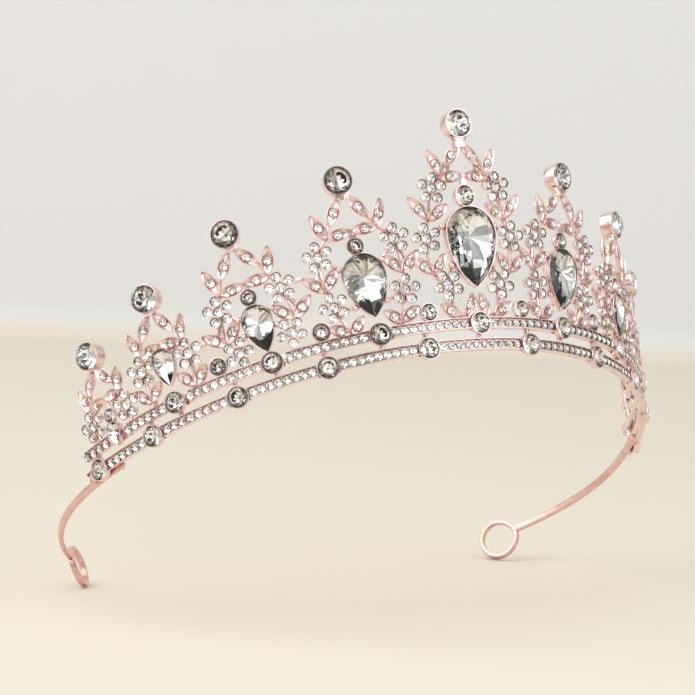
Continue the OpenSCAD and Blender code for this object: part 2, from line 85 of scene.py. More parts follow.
def unit(v, axis=None):
    """A vector, or with an axis each row of vectors, scaled to length one."""
    return v / np.linalg.norm(v, axis=axis, keepdims=axis is not None)


def still(shape):
    """Identity matrices, one for each entry of the given shape."""
    return np.broadcast_to(np.eye(4), tuple(shape) + (4, 4)).copy()


def shift(x, y, z):
    """Matrices that move by (x, y, z)."""
    x, y, z = np.broadcast_arrays(*(np.asarray(c, float) for c in (x, y, z)))
    m = still(x.shape)
    m[..., 0, 3], m[..., 1, 3], m[..., 2, 3] = x, y, z
    return m


def turn(angle, a, b):
    """Matrices that turn by angle in the plane of axes a and b, from a towards b."""
    angle = np.asarray(angle, float)
    m = still(angle.shape)
    m[..., a, a] = m[..., b, b] = np.cos(angle)
    m[..., b, a], m[..., a, b] = np.sin(angle), -np.sin(angle)
    return m


def lean_at(u):
    """The plate leans forward by atan(tan(flare) cos(u / r)): most in front, none at the side."""
    return np.arctan(np.tan(FLARE) * np.cos(np.asarray(u, float) / RING_R))


def stand(u, v=0.0, out=0.0, spin=0.0):
    """Matrices that stand flat work, facing +Z, on the plate at (u, v), turned by spin."""
    u, v, out, spin = np.broadcast_arrays(*(np.asarray(c, float) for c in (u, v, out, spin)))
    return (shift(0, MID_Y, RAIL_Z) @ turn(u / RING_R, 0, 1) @ shift(0, -RING_R, 0)
            @ turn(lean_at(u), 1, 2) @ shift(0, -out, v) @ turn(np.pi / 2, 1, 2)
            @ turn(spin, 0, 1))


# %% [markdown]
# ## The crests' drawing
# Each crest is drawn once, as the right half of a symmetrical motif: leaves with the
# direction of their tips, flowers, plain beads and the stems that carry them. These are the
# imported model's own numbers, so the finer shapes land where its solids are.

# %% Drawing of the crests
SIDES = {-1: "left", 1: "right"}
CREST_KEYS = [(0, 1)] + [(k, s) for k in range(1, 5) for s in (-1, 1)]
FOOT_KEYS = [key for key in CREST_KEYS if key[0] < 4]
CREST_U = [0, PITCH - 0.5, 2 * PITCH - 0.1, 3 * PITCH + 0.3, 94.8]
CREST_V = [53.6, 43.1, 37.9, 31.2, 26.3]
CREST_TILT = np.radians([0, 3.5, 3, -4, 0])
PEAR_W = [13.2, 10, 6.9, 5.1, 3.6]
PEAR_H = [19.2, 14.9, 11.2, 8.8, 5.4]
PEAR_V = [23.5, 17.1, RAIL_RISE / np.cos(lean_at(CREST_U[2])) + RAIL_GEM / 2 + 2 * WALL
          + PEAR_H[2] / 2 - BITE, 13.7, 5.6]
DROP_D = [4.7, 3.5, 3.5, 0, 3]
DROP_V = [PEAR_V[k] + (PEAR_H[k] + DROP_D[k]) / 2 + 2 * WALL - BITE for k in range(5)]
# Each leaf: distance from the middle, height, direction of its tip in degrees, length
LEAVES = [
    [[2.6, 46, 132, 7], [7.4, 44.1, 63, 7.4], [3.6, 40.7, 176, 7], [12.8, 33.5, 51, 7.6],
     [8.1, 32.2, 147, 6.7], [12.9, 19.6, 39, 6.8], [9, 19.7, 126, 6.1], [1.8, 9.6, 108, 5.8],
     [7.1, 8.5, 32, 6.2]],
    [[3, 36, 122, 7], [7.5, 33.4, 72, 7], [3.3, 30.5, 177, 6.7], [11.8, 20.4, 45, 6.8],
     [7.8, 20.7, 134, 6.3], [4.6, 8.4, 138, 5.7], [8.8, 8.3, 30, 5.5]],
    [[2.9, 30.8, 127, 6.9], [7.3, 28.3, 73, 7], [3.2, 24.8, 177, 6.5], [11.2, 15.1, 40, 6.8],
     [6.4, 15.4, 134, 5.8]],
    [[2.75, 24.3, 125, 6.6], [6.6, 21.5, 75, 6.7], [3, 18.8, 168, 6.1], [8.2, 9.1, 48, 5.5],
     [4.3, 9.2, 135, 5.5]],
    [[2.5, 19.9, 124, 6.2], [6, 17.2, 76, 6.3], [2.85, 14.4, 172, 5.8]]]
# Each flower: distance from the middle, height, turn of its first petal in degrees
FLOWERS = [
    [[9, 38.1, 26], [11.7, 26.2, 9], [7.2, 14.6, 60]],
    [[9.6, 26.7, 18], [8.9, 14.2, 6]],
    [[7.9, 21.2, 22], [6.7, 10.2, 44]],
    [[6.6, 15, 20]],
    [[6, 10.4, 10]]]
# Each bead: height, and the flower that it is tied to; it touches the pear setting's side
BEADS = [[[28.8, 1], [19.2, 2]], [[22.4, 0], [12.6, 1]], [[17.4, 0], [13.2, 1]], [], []]
STEMS = [
    [[5.7, 5.5], [7.2, 14.6], [10.6, 17.6], [11.7, 26.2], [10.5, 30.7], [9, 38.1], [6.8, 40.7],
     [4.8, 43.5], [1.3, 47.6]],
    [[6, 5.5], [8.9, 14.2], [9.7, 18.3], [9.6, 26.5], [6.6, 30.4], [4.9, 33.2], [1.4, 38.1]],
    [[5.7, 5.5], [6.7, 10.2], [8.9, 13.2], [7.9, 21.2], [6.4, 24.9], [5, 28.2], [1.1, 33]],
    [[6.2, 5.5], [6.6, 15], [5.9, 18.3], [4.8, 21.8], [1.1, 26.6]],
    [[5.3, 5.5], [6, 10.4], [5.7, 14.4], [4.3, 17.5], [1, 22]]]
TIES = [
    [[[2.4, 7.4], [6, 7.4]], [[3.7, 44.2], [3.7, 41.2]]],
    [[[10.4, 24.3], [11.3, 21.4]]],
    [[[8.9, 19.2], [10, 16.4]]],
    [[[6.2, 5.5], [4.3, 9.2]], [[6.2, 5.5], [8.2, 9.1]]],
    []]
BARS = [[], [], [[-7.9, 21.4], [-13.3, 21.6]], [[-6.6, 15.1], [-11.6, 15.9]], []]
LOW_U = [14.1, 38.9, 61.2, 84.7, 103]
DIP_U = [12.5, 38.3, 63.4]


def tag(k, s):
    """Name of a crest: centre, left_1, right_1 and so on."""
    return "centre" if k == 0 else f"{SIDES[s]}_{k}"


def pear_arcs(r, drop):
    """A pear is a circle of radius r above and two arcs below that meet at a point, drop under
    its centre. Gives their half width h at the start and their radius (h^2 + drop^2) / 2h."""
    half = 0.985 * r
    return half, (half ** 2 + drop ** 2) / (2 * half)


def pear_side(k, y):
    """Half the width of a crest's pear setting at height y."""
    r = PEAR_W[k] / 2 + WALL
    down = PEAR_V[k] + PEAR_H[k] / 2 + WALL - r - y
    half, side = pear_arcs(r, PEAR_H[k] + 2 * WALL - r)
    return (r * r - down ** 2) ** 0.5 if down < 0 else (side ** 2 - down ** 2) ** 0.5 - side + half


def on_plate(k, x, y):
    """A crest's own (x, y) as u and v: turned by its tilt, and u drawn in as the plate widens."""
    x, y = np.asarray(x, float), np.asarray(y, float)
    tilt = CREST_TILT[k]
    spread = 1 + y * np.sin(lean_at(CREST_U[k])) / RING_R
    u = CREST_U[k] + (x * np.cos(tilt) + y * np.sin(tilt)) / spread
    return u, y * np.cos(tilt) - x * np.sin(tilt)


def in_crest(k, s, x, y, out=0.0, spin=0.0):
    """Matrices in a crest's coordinates; on the left side the directions are mirrored."""
    u, v = on_plate(k, x, y)
    angle = np.asarray(spin, float) - CREST_TILT[k]
    return stand(s * u, v, out, angle if s > 0 else np.pi - angle)


def mid_crest(k, s, y, out=0.0):
    """Upright matrices on a crest's middle line."""
    u, v = on_plate(k, 0, y)
    return stand(s * u, v, out, -s * CREST_TILT[k])


def both_halves(k, s, x, y, out=0.0, spin=0.0):
    """The matrices of both halves of a crest, for lists of x, y and spin."""
    x, y, spin = (np.asarray(c, float) for c in (x, y, spin))
    return np.concatenate([in_crest(k, s, x, y, out, spin),
                           in_crest(k, s, -x, y, out, np.pi - spin)])


def on_upper(u, out=0.0):
    """Matrices on the upper rail."""
    return stand(u, RAIL_RISE / np.cos(lean_at(u)), out)


def foot_u(k, s):
    """Distance along the ring to the large stone under a crest."""
    return s * on_plate(k, 0, RAIL_RISE)[0]


# %% [markdown]
# ## From surfaces to meshes
# Every shape below is a surface: a grid of points worked out by a formula in two parameters.
# One helper joins the grid's neighbours with four-sided faces and turns them outwards,
# another sets copies of a template at many places, and the last one welds the poles shut
# and hands the arrays to Blender.

# %% Mesh helpers
WELD = 2000         # grid steps in a millimetre on which points count as the same


def grid_faces(rows, cols, wrap_rows=False, wrap_cols=True):
    """Four-sided faces that join the neighbours in a grid of points."""
    r = np.arange(rows if wrap_rows else rows - 1)[:, None]
    c = np.arange(cols if wrap_cols else cols - 1)[None, :]
    r1, c1 = (r + 1) % rows, (c + 1) % cols
    faces = np.stack([r * cols + c, r * cols + c1, r1 * cols + c1, r1 * cols + c], -1)
    return faces.reshape(-1, 4)


def surface(points, wrap_rows=False):
    """Vertices and faces of a tube given as a grid of points (rows, columns, 3)."""
    return outwards(points.reshape(-1, 3), grid_faces(*points.shape[:2], wrap_rows))


def closed(rows):
    """Rows of points with a row shrunk to its middle added at each end, to close the tube."""
    ends = [np.repeat(row.mean(0)[None, None], rows.shape[1], 1) for row in (rows[0], rows[-1])]
    return np.concatenate([ends[0], rows, ends[1]])


def outwards(verts, faces):
    """The same faces, turned round if the closed shape they make is inside out."""
    a, b, c, d = (verts[faces[:, i]] for i in range(4))
    volume = (a * np.cross(b, c)).sum() + (a * np.cross(c, d)).sum()
    return verts, faces if volume > 0 else faces[:, ::-1]


def joined(parts):
    """Several (vertices, faces) as one."""
    starts = np.cumsum([0] + [len(v) for v, f in parts[:-1]])
    return (np.concatenate([v for v, f in parts]),
            np.concatenate([f + i for (v, f), i in zip(parts, starts)]))


def copies(template, places):
    """A template set at each of many matrices."""
    verts, faces = template
    places = places.reshape(-1, 4, 4)
    moved = np.einsum("mij,nj->mni", places[:, :3, :3], verts) + places[:, None, :3, 3]
    offsets = np.arange(len(places))[:, None, None] * len(verts)
    return moved.reshape(-1, 3), (faces[None] + offsets).reshape(-1, 4)


def lathe(profile, sides):
    """A profile of (radius, height) points turned round the Z axis."""
    radius, height = np.array(profile, float).T
    t = np.arange(sides) * 2 * np.pi / sides
    return surface(np.stack([radius[:, None] * np.cos(t), radius[:, None] * np.sin(t),
                             height[:, None] + 0 * t], -1))


def in_scene(name, data):
    """A new object in the scene that holds a mesh, a light or a camera."""
    thing = bpy.data.objects.new(name, data)
    bpy.context.scene.collection.objects.link(thing)
    return thing


def make_piece(name, parts, finishes, nodes, sharp=35.0, marks=None):
    """Welds the parts, given in millimetres, into one Blender piece that stands for nodes."""
    verts, faces = joined(parts)
    keys, first, back = np.unique(np.round(verts * WELD).astype(np.int64), axis=0,
                                  return_index=True, return_inverse=True)
    faces = back.reshape(-1)[faces]
    corner = faces != np.roll(faces, -1, axis=1)
    sizes = corner.sum(1)
    good = sizes >= 3
    corner &= good[:, None]
    sizes = sizes[good]
    mesh = bpy.data.meshes.new(name)
    mesh.vertices.add(len(first))
    mesh.vertices.foreach_set("co", (verts[first] * MM).astype(np.float32).ravel())
    loops = faces[corner]
    mesh.loops.add(len(loops))
    mesh.loops.foreach_set("vertex_index", loops.astype(np.int32))
    mesh.polygons.add(len(sizes))
    mesh.polygons.foreach_set("loop_start", (np.cumsum(sizes) - sizes).astype(np.int32))
    if marks is not None:
        mesh.polygons.foreach_set("material_index", np.concatenate(marks)[good].astype(np.int32))
    mesh.polygons.foreach_set("use_smooth", np.full(len(sizes), sharp > 0))
    mesh.update(calc_edges=True)
    mesh.validate()
    if sharp > 0:
        mesh.set_sharp_from_angle(angle=np.radians(sharp))
    for finish in finishes:
        mesh.materials.append(finish)
    piece = in_scene(name, mesh)
    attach(piece, "root")
    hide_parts(*nodes)
    print(f"{name}: {len(sizes)} faces")
    return piece


# %% [markdown]
# ## Rose-gold plate
# The castings are a zinc-tin alloy under a thin, bright rose-gold plate. Fresh plate is
# nearly a mirror, but tiny pits from the mould and handling make it uneven, and the recesses
# look darker and redder because light reaches them only off other metal. A node group gives
# colour, roughness and height for all of that once, with that darkening painted in as shade
# in the hollows, and each finish sets its own values.

# %% Node helpers and the plating group
def node(tree, kind, **values):
    """Adds a node and sets its properties; names with a leading capital are sockets."""
    n = tree.nodes.new(kind)
    for key, value in values.items():
        if key[0].isupper():
            n.inputs[key.replace("_", " ")].default_value = value
        else:
            setattr(n, key, value)
    return n


def connect(tree, *links):
    """Joins sockets; each link is (node, output, node, input)."""
    for a, output, b, into in links:
        tree.links.new(a.outputs[output], b.inputs[into])


def new_finish(name, **values):
    """A material, its node tree and its Principled shader with constants on its sockets."""
    m = bpy.data.materials.new(name)
    m.use_nodes = True
    shader = m.node_tree.nodes["Principled BSDF"]
    for key, value in values.items():
        shader.inputs[key.replace("_", " ")].default_value = value
    return m, m.node_tree, shader


FACTOR, FIRST, SECOND, MIXED = 0, 6, 7, 2       # a colour mix's sockets


def plating_group():
    """Group: Object coordinates in; colour, roughness and height of bright plate out, uneven with
    wear and with painted shade in its hollows.
    """
    g = bpy.data.node_groups.new("plating", "ShaderNodeTree")
    for name, kind in (("Vector", "Vector"), ("Plate", "Color"), ("Recess shade", "Color"),
                       ("Polish", "Float"), ("Pitting", "Float")):
        g.interface.new_socket(name, in_out="INPUT", socket_type="NodeSocket" + kind)
    for name, kind in (("Color", "Color"), ("Roughness", "Float"), ("Height", "Float")):
        g.interface.new_socket(name, in_out="OUTPUT", socket_type="NodeSocket" + kind)
    given, made = node(g, "NodeGroupInput"), node(g, "NodeGroupOutput")
    cloud = node(g, "ShaderNodeTexNoise", Scale=420.0, Detail=3.0, Roughness=0.6)
    pits = node(g, "ShaderNodeTexNoise", Scale=2600.0, Detail=2.0, Roughness=0.5)
    # Painted shade: ambient occlusion turns the colour from the plate colour to the darker shade
    # colour in hollows and between parts.
    shade = node(g, "ShaderNodeAmbientOcclusion", samples=6, Distance=0.0011)
    depth = node(g, "ShaderNodeMapRange", From_Min=0.25, From_Max=0.95)
    tone = node(g, "ShaderNodeMix", data_type="RGBA")
    drift = node(g, "ShaderNodeMapRange", From_Min=0.35, From_Max=0.65, To_Min=0.82, To_Max=1.0)
    tint = node(g, "ShaderNodeMix", data_type="RGBA", blend_type="MULTIPLY")
    tint.inputs[FACTOR].default_value = 1.0
    uneven = node(g, "ShaderNodeMapRange", From_Min=0.3, From_Max=0.7, To_Min=-0.07, To_Max=0.09)
    rough = node(g, "ShaderNodeMath", operation="ADD")
    height = node(g, "ShaderNodeMath", operation="MULTIPLY")
    connect(g, (given, "Vector", cloud, "Vector"), (given, "Vector", pits, "Vector"),
            (shade, "AO", depth, "Value"), (depth, "Result", tone, FACTOR),
            (given, "Recess shade", tone, FIRST), (given, "Plate", tone, SECOND),
            (cloud, 0, drift, "Value"), (tone, MIXED, tint, FIRST),
            (drift, "Result", tint, SECOND), (tint, MIXED, made, "Color"),
            (cloud, 0, uneven, "Value"), (uneven, "Result", rough, 0),
            (given, "Polish", rough, 1), (rough, 0, made, "Roughness"),
            (pits, 0, height, 0), (given, "Pitting", height, 1), (height, 0, made, "Height"))
    return g


PLATING = plating_group()


def plate_finish(name, plate, recess_shade, polish, pitting, coat):
    """A metal finish: the plating group's values on a Principled metal."""
    m, t, shader = new_finish(name, Metallic=1.0, Coat_Weight=coat, Coat_Roughness=0.08)
    where = node(t, "ShaderNodeTexCoord")
    worn_and_shaded = node(t, "ShaderNodeGroup", node_tree=PLATING)
    for key, value in (("Plate", (*plate, 1)), ("Recess shade", (*recess_shade, 1)), ("Polish", polish),
                       ("Pitting", pitting)):
        worn_and_shaded.inputs[key].default_value = value
    bump = node(t, "ShaderNodeBump", Strength=0.35, Distance=0.00004)
    connect(t, (where, "Object", worn_and_shaded, "Vector"), (worn_and_shaded, "Color", shader, "Base Color"),
            (worn_and_shaded, "Roughness", shader, "Roughness"), (worn_and_shaded, "Height", bump, "Height"),
            (bump, "Normal", shader, "Normal"))
    return m


# Each finish's second colour is the painted shade that the ambient occlusion lays into hollows.
CASTING = plate_finish("rose_plate", (0.97, 0.76, 0.725), (0.68, 0.42, 0.39), 0.25, 1.0, 0.25)
BRIGHT = plate_finish("rose_plate_bright", (0.97, 0.77, 0.73), (0.66, 0.41, 0.38), 0.18, 0.4, 0.3)
SATIN = plate_finish("rose_plate_satin", (0.90, 0.58, 0.52), (0.62, 0.30, 0.26), 0.32, 0.5, 0.1)

# %% [markdown]
# ## Crystal
# The stones are pressed glass with foil behind them. Light goes in through the crown,
# bounces off the foil on the slanted back facets and comes out again, which breaks the room
# into bright and dark flakes. So the crown is clear glass and the back facets are mirrors,
# and the flakes are also painted in as a painted reflection: each back facet is a little
# lighter or darker than the next. All facets are real geometry, unsmoothed.

# %% Crystal finishes
def crystal_crown(name, colour):
    """Clear glass for the crown."""
    return new_finish(name, Base_Color=(*colour, 1), Roughness=0.0, Transmission_Weight=1.0,
                      IOR=1.56)[0]


def reflection_flake_group():
    """Mask that is one random number on each flat facet, mostly near 0 and sometimes near 1:
    the object's normal, rounded to steps of 1/60, feeds white noise, and the noise is cubed.
    It places the painted dark reflection flakes on the foil."""
    group = bpy.data.node_groups.new("painted reflection flakes", "ShaderNodeTree")
    group.interface.new_socket("Mask", in_out="OUTPUT", socket_type="NodeSocketFloat")
    end = node(group, "NodeGroupOutput")
    where = node(group, "ShaderNodeTexCoord")
    wide = node(group, "ShaderNodeVectorMath", operation="SCALE", Scale=60.0)
    snapped = node(group, "ShaderNodeVectorMath", operation="FLOOR")
    noise = node(group, "ShaderNodeTexWhiteNoise", noise_dimensions="3D")
    cube = node(group, "ShaderNodeMath", operation="POWER")
    cube.inputs[1].default_value = 3.0
    connect(group, (where, "Normal", wide, 0), (wide, 0, snapped, 0), (snapped, 0, noise, "Vector"),
            (noise, "Value", cube, 0), (cube, 0, end, "Mask"))
    return group


REFLECTION_FLAKES = reflection_flake_group()


def foil_back(name, colour, dark):
    """Silvery foil; each facet gets a painted reflection tone of its own between colour and dark.
    """
    m, t, shader = new_finish(name, Metallic=1.0, Roughness=0.08)
    facets = node(t, "ShaderNodeGroup", node_tree=REFLECTION_FLAKES)
    ramp = node(t, "ShaderNodeMix", data_type="RGBA")
    ramp.inputs[FIRST].default_value = (*colour, 1)
    ramp.inputs[SECOND].default_value = (*dark, 1)
    connect(t, (facets, "Mask", ramp, FACTOR), (ramp, MIXED, shader, "Base Color"))
    return m


CROWN = crystal_crown("crystal", (0.98, 0.99, 0.98))
# The second colour is the painted dark reflection flake that some back facets get.
FOIL = foil_back("foil", (0.99, 0.99, 0.98), (0.42, 0.38, 0.33))

# %% [markdown]
# ## Cutting the stones
# A round brilliant has an eight-sided table, eight star facets, eight kites and sixteen
# small facets down to its widest line, the girdle; behind it eight long facets meet in a
# point. The same rings of points serve the pear stones: only the outline changes. The very
# small stones are cut more simply, with eight facets above and eight below.

# %% Stone templates
def ring(outline, angles, share, z, centre):
    """Points at a share of the way from the centre to the outline, at height z."""
    flat = outline(angles) * share + np.array(centre) * (1 - share)
    return np.column_stack([flat, np.full(len(flat), z)])


def faces_between(count, *corners):
    """Quads made of index columns; triangles repeat their last corner."""
    cols = [np.broadcast_to(c, (count,)) for c in corners]
    cols += [cols[-1]] * (4 - len(cols))
    return np.stack(cols, 1)


def brilliant(outline, centre, crown, girdle, depth, table=0.6, mid=0.82):
    """Vertices and faces of a full cut, and which faces are backed with foil."""
    eighth = np.pi / 4
    main = -np.pi / 2 + eighth * np.arange(8)
    half = main + eighth / 2
    fine = -np.pi / 2 + eighth / 2 * np.arange(16)
    verts = np.concatenate([
        ring(outline, half, table, crown, centre),
        ring(outline, main, mid, girdle + 0.42 * (crown - girdle), centre),
        ring(outline, fine, 1.0, girdle, centre), ring(outline, fine, 1.0, 0.0, centre),
        ring(outline, main, 0.42, -depth * 0.62, centre),
        [[centre[0], centre[1], crown], [centre[0], centre[1], -depth]]])
    i = np.arange(8)
    j, t, m, g, b, p = (i + 7) % 8, i, 8 + i, 16, 32, 48 + i
    g0, g1, g9 = 2 * i, (2 * i + 1) % 16, (2 * i + 15) % 16
    k, kp = 8 + (i + 1) % 8, 48 + (i + 1) % 8
    f = np.arange(16)
    front = [faces_between(8, 56, j, t), faces_between(8, j, m, t),
             faces_between(8, t, m, g + g1, k), faces_between(8, m, g + g0, g + g1),
             faces_between(8, m, g + g9, g + g0)]
    rim = [faces_between(16, g + f, b + f, b + (f + 1) % 16, g + (f + 1) % 16)]
    back = [faces_between(8, 57, kp, b + g1, p), faces_between(8, p, b + g1, b + g0),
            faces_between(8, p, b + g0, b + g9)]
    faces = np.concatenate(front + rim + back)
    foil = np.r_[np.zeros(40), np.ones(16 + 24)]
    return verts, faces, foil


def small_cut(d, crown, girdle, depth):
    """A single cut: eight-sided table, eight slopes, and eight foiled facets to a point."""
    t = np.pi / 4 * np.arange(8)
    circle = np.stack([np.cos(t), np.sin(t), 0 * t], 1) * d / 2
    up = np.array([0, 0, 1.0])
    verts = np.concatenate([circle * 0.56 + up * crown, circle + up * girdle, circle,
                            [up * crown, -up * depth]])
    i, j = np.arange(8), (np.arange(8) + 1) % 8
    faces = np.concatenate([faces_between(8, 24, i, j), faces_between(8, i, 8 + i, 8 + j, j),
                            faces_between(8, 8 + i, 16 + i, 16 + j, 8 + j),
                            faces_between(8, 25, 16 + j, 16 + i)])
    return verts, faces, np.r_[np.zeros(16), np.ones(16)]


def round_outline(d):
    """A circle of diameter d."""
    return lambda a: np.stack([np.cos(a), np.sin(a)], 1) * d / 2


def pear_outline(w, h):
    """Round above, two large arcs meeting in a point below; measured from the pear's middle."""
    r = w / 2
    half, side = pear_arcs(r, h - r)
    c = side - half

    def outline(a):
        along = np.abs(np.cos(a))
        arc = -c * along + np.sqrt(c ** 2 * along ** 2 + side ** 2 - c ** 2)
        reach = np.where(np.sin(a) < 0, np.maximum(arc, r), r)
        return np.stack([np.cos(a) * reach, np.sin(a) * reach + h / 2 - r], 1)
    return outline


SHOW = 0.2          # how far a stone reaches under the rolled lip of its setting


def round_brilliant(d):
    """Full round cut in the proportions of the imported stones."""
    full = d + 2 * SHOW
    return brilliant(round_outline(full), (0, 0), 0.2 * d, 0.04 * d, 0.3 * d)


def pear_brilliant(w, h):
    """Full pear cut; its point of meeting lies below the middle of the round end."""
    full = pear_outline(w + 2 * SHOW, h + 2 * SHOW)
    return brilliant(full, (0, 0.13 * h), 0.13 * w, 0.4, 0.19 * w, 0.68, 0.86)


def stones(name, cuts, nodes):
    """One piece for all the stones of a kind: cuts is a list of (template, matrices)."""
    parts, marks = [], []
    for (verts, faces, foil), places in cuts:
        parts.append(copies(outwards(verts, faces), places))
        marks.append(np.tile(foil, places.reshape(-1, 4, 4).shape[0]))
    return make_piece(name, parts, [CROWN, FOIL], nodes, sharp=0, marks=marks)


# %% Large stones
stones("crest_brilliants", [(round_brilliant(CREST_GEM), np.stack(
    [mid_crest(k, s, CREST_V[k], GEM_LIFT) for k, s in CREST_KEYS]))], ["crest_stones"])
stones("pear_brilliants", [(pear_brilliant(PEAR_W[k], PEAR_H[k]),
                            mid_crest(k, s, PEAR_V[k], PEAR_LIFT)) for k, s in CREST_KEYS],
       ["pear_stones"])
stones("drop_brilliants", [(round_brilliant(DROP_D[k]), mid_crest(k, s, DROP_V[k]))
                           for k, s in CREST_KEYS if DROP_D[k]], ["drop_stones"])
BOTH = np.array([-1, 1])
DIPS = np.outer(DIP_U, BOTH).ravel()
stones("dip_brilliants", [(round_brilliant(DIP_GEM), stand(DIPS, DIP_V, DIP_LIFT))],
       ["dip_stones"])
LOWS = np.outer(LOW_U, BOTH).ravel()
FEET = np.array([foot_u(k, s) for k, s in FOOT_KEYS])
stones("rail_brilliants", [(round_brilliant(RAIL_GEM), stand(LOWS, 0, RAIL_GEM_OUT)),
                           (round_brilliant(RAIL_GEM), on_upper(FEET, RAIL_GEM_OUT))],
       ["rail_stones"])


# %% [markdown]
# ## Small stones of the rails, flowers and leaves
# The rails' small stones stand in even rows between the large ones, nearly touching. The
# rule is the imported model's: as many as the free length takes at the wanted pitch.

# %% Rows of small stones
RAIL_CUP_R = RAIL_GEM / 2 + WALL
PAVE_GEM = RAIL_H - 2 * LIP - 0.1
RAIL_FLOOR = RAIL_T / 2 - CHANNEL


def row_between(a, b):
    """Even places between two large stones at a and b."""
    free = b - a - 2 * RAIL_CUP_R
    count = max(0, int((free + 0.3) // PAVE_PITCH))
    return (a + b) / 2 + (np.arange(count) - (count - 1) / 2) * free / max(count, 1)


def rows(stops):
    """The places between all neighbouring stops, on the right side."""
    return np.concatenate([row_between(a, b) for a, b in zip(stops[:-1], stops[1:])])


RAIL_END = RAIL_RUN + RAIL_CUP_R - 0.4
low_row = rows(LOW_U + [RAIL_END])
LOW_PAVE = np.r_[row_between(-LOW_U[0], LOW_U[0]), low_row, -low_row]
up_row = rows([on_plate(k, 0, RAIL_RISE)[0] for k in range(5)] + [RAIL_END])
UP_PAVE = np.r_[up_row, -up_row]


def chip_cut(d):
    """Single cut whose girdle lies a quarter of a millimetre above its seat."""
    return small_cut(d + 0.24, 0.19 * d, 0.05, 0.22)


CHIP_SEAT = 0.25
pave_cut = chip_cut(PAVE_GEM)


def in_rail(places, u):
    """Stones in a rail's channel lean with the rail, not with the plate."""
    return places @ turn(RAIL_LEAN - lean_at(u), 1, 2) @ shift(0, 0, RAIL_FLOOR + CHIP_SEAT)


stones("lower_pave", [(pave_cut, in_rail(stand(LOW_PAVE), LOW_PAVE))], ["lower_pave_stones"])
stones("upper_pave", [(pave_cut, in_rail(on_upper(UP_PAVE), UP_PAVE))], ["upper_pave_stones"])


def petal_places(k, s, out):
    """Matrices of the six cups of each flower of a crest, the middle one first."""
    x, y, spin = np.array(FLOWERS[k], float).T
    heads = both_halves(k, s, x, y, out, np.radians(spin))
    fifth = 2 * np.pi / 5 * np.arange(5)
    petals = heads[:, None] @ turn(fifth, 0, 1)[None] @ shift(PETAL_REACH, 0, 0)
    return np.concatenate([heads[:, None], petals], 1)


def leaf_places(k, s, out):
    """Matrices of all the leaves of a crest, each with its tip along +X."""
    x, y, tip = np.array(LEAVES[k], float).T[:3]
    return both_halves(k, s, x, y, out, np.radians(tip))


GROUPS = {"centre": [(0, 1)], "left": [c for c in CREST_KEYS if c[0] and c[1] < 0],
          "right": [c for c in CREST_KEYS if c[0] and c[1] > 0]}
for side, keys in GROUPS.items():
    stones(f"{side}_flower_chips",
           [(chip_cut(FLOWER_GEM), petal_places(k, s, FLOWER_FLOOR + CHIP_SEAT)) for k, s in keys],
           [f"{side}_flower_stones"])
    stones(f"{side}_leaf_chips",
           [(chip_cut(LEAF_GEM), leaf_places(k, s, LEAF_FLOOR + CHIP_SEAT)) for k, s in keys],
           [f"{side}_leaf_stones"])


# %% [markdown]
# ## Leaves
# A cast leaf is a long pointed dish. A raised bead runs round its edge, two flat slopes meet
# in a crease along the middle, and the back is gently rounded. The surface's first parameter
# goes from the stalk to the tip, the second round the cross-section. Near the tips the
# section shrinks to a point, which welds into a closed pole.

# %% Leaf and its seat
LEAF_W = 3.1


def leaf_template(stations=13):
    """Leaf of length one: half width (1 - x^2)^0.72, section given by inset and height."""
    x = np.sin(np.linspace(-np.pi / 2, np.pi / 2, stations))
    half = LEAF_W / 2 * np.maximum(1 - x ** 2, 0) ** 0.72
    thin = np.maximum(1 - x ** 2, 0) ** 0.3
    inset = np.array([0, 0.04, 0.17, 0.32, 0.5])
    height = np.array([0.05, 0.46, 0.6, 0.46, 0.22])
    y = np.maximum(half[:, None] - inset * np.minimum(half[:, None] / 0.9, 1), 0)
    z = height * thin[:, None]
    crease = np.stack([0 * x, -0.02 * thin], -1)[:, None]
    under = np.stack([[0.75, 0.0, -0.75], [-0.34, -0.55, -0.34]], -1)
    below = np.stack([half[:, None] * under[:, 0], thin[:, None] * under[:, 1]], -1)
    right = np.stack([y, z], -1)
    left = np.stack([-y, z], -1)[:, ::-1]
    section = np.concatenate([right, crease, left, below[:, ::-1]], 1)
    lift = 0.22 * (x ** 2)[:, None]
    points = np.stack([np.broadcast_to(x[:, None] / 2, section.shape[:2]), section[..., 0],
                       section[..., 1] + lift], -1)
    return surface(points)


LEAF = leaf_template()
LEAF_SEAT = lathe([(0, -0.1), (1.06, -0.1), (1.1, 0.4), (1.06, 0.5), (1.0, 0.5),
                   (0.98, 0.3), (0, 0.24)], 14)
PRONG = lathe([(0, -0.2), (0.14, -0.1), (0.15, 0.08), (0.09, 0.17), (0, 0.2)], 6)


def leaf_parts(k, s):
    """All the leaves of a crest with their seats and prongs."""
    places = leaf_places(k, s, 0.0)
    lengths = np.tile(np.array(LEAVES[k], float)[:, 3], 2)
    long = still(lengths.shape)
    long[:, 0, 0] = lengths * 1.05
    corners = np.radians([35, 145, 215, 325])
    prongs = places[:, None] @ turn(corners, 0, 1) @ shift(0.98, 0, 0.52)
    return [copies(LEAF, places @ long), copies(LEAF_SEAT, places), copies(PRONG, prongs)]


# %% [markdown]
# ## Flowers, beads and stems
# A flower is six little cups, five round one. Each cup is a profile turned on a lathe, with
# a thin lip rolled in over its stone. Stems are round wires that swell a little at their
# ends, carried along smooth curves through the drawing's points; the wire's circle is set
# up on the plate's own outward direction, so it never twists.

# %% Flower cups, beads and stems
PETAL_R = FLOWER_GEM / 2 + 0.33
FLOWER_CUP = lathe([(0, -0.62), (0.85, -0.62), (1.25, -0.3), (PETAL_R, 0.35),
                    (PETAL_R - 0.02, 0.72), (PETAL_R - 0.1, 0.8), (PETAL_R - 0.19, 0.76),
                    (PETAL_R - 0.2, 0.4), (0, 0.3)], 14)
BEAD = lathe([(0.8 * np.sin(a), -0.8 * np.cos(a)) for a in np.linspace(0, np.pi, 8)], 12)


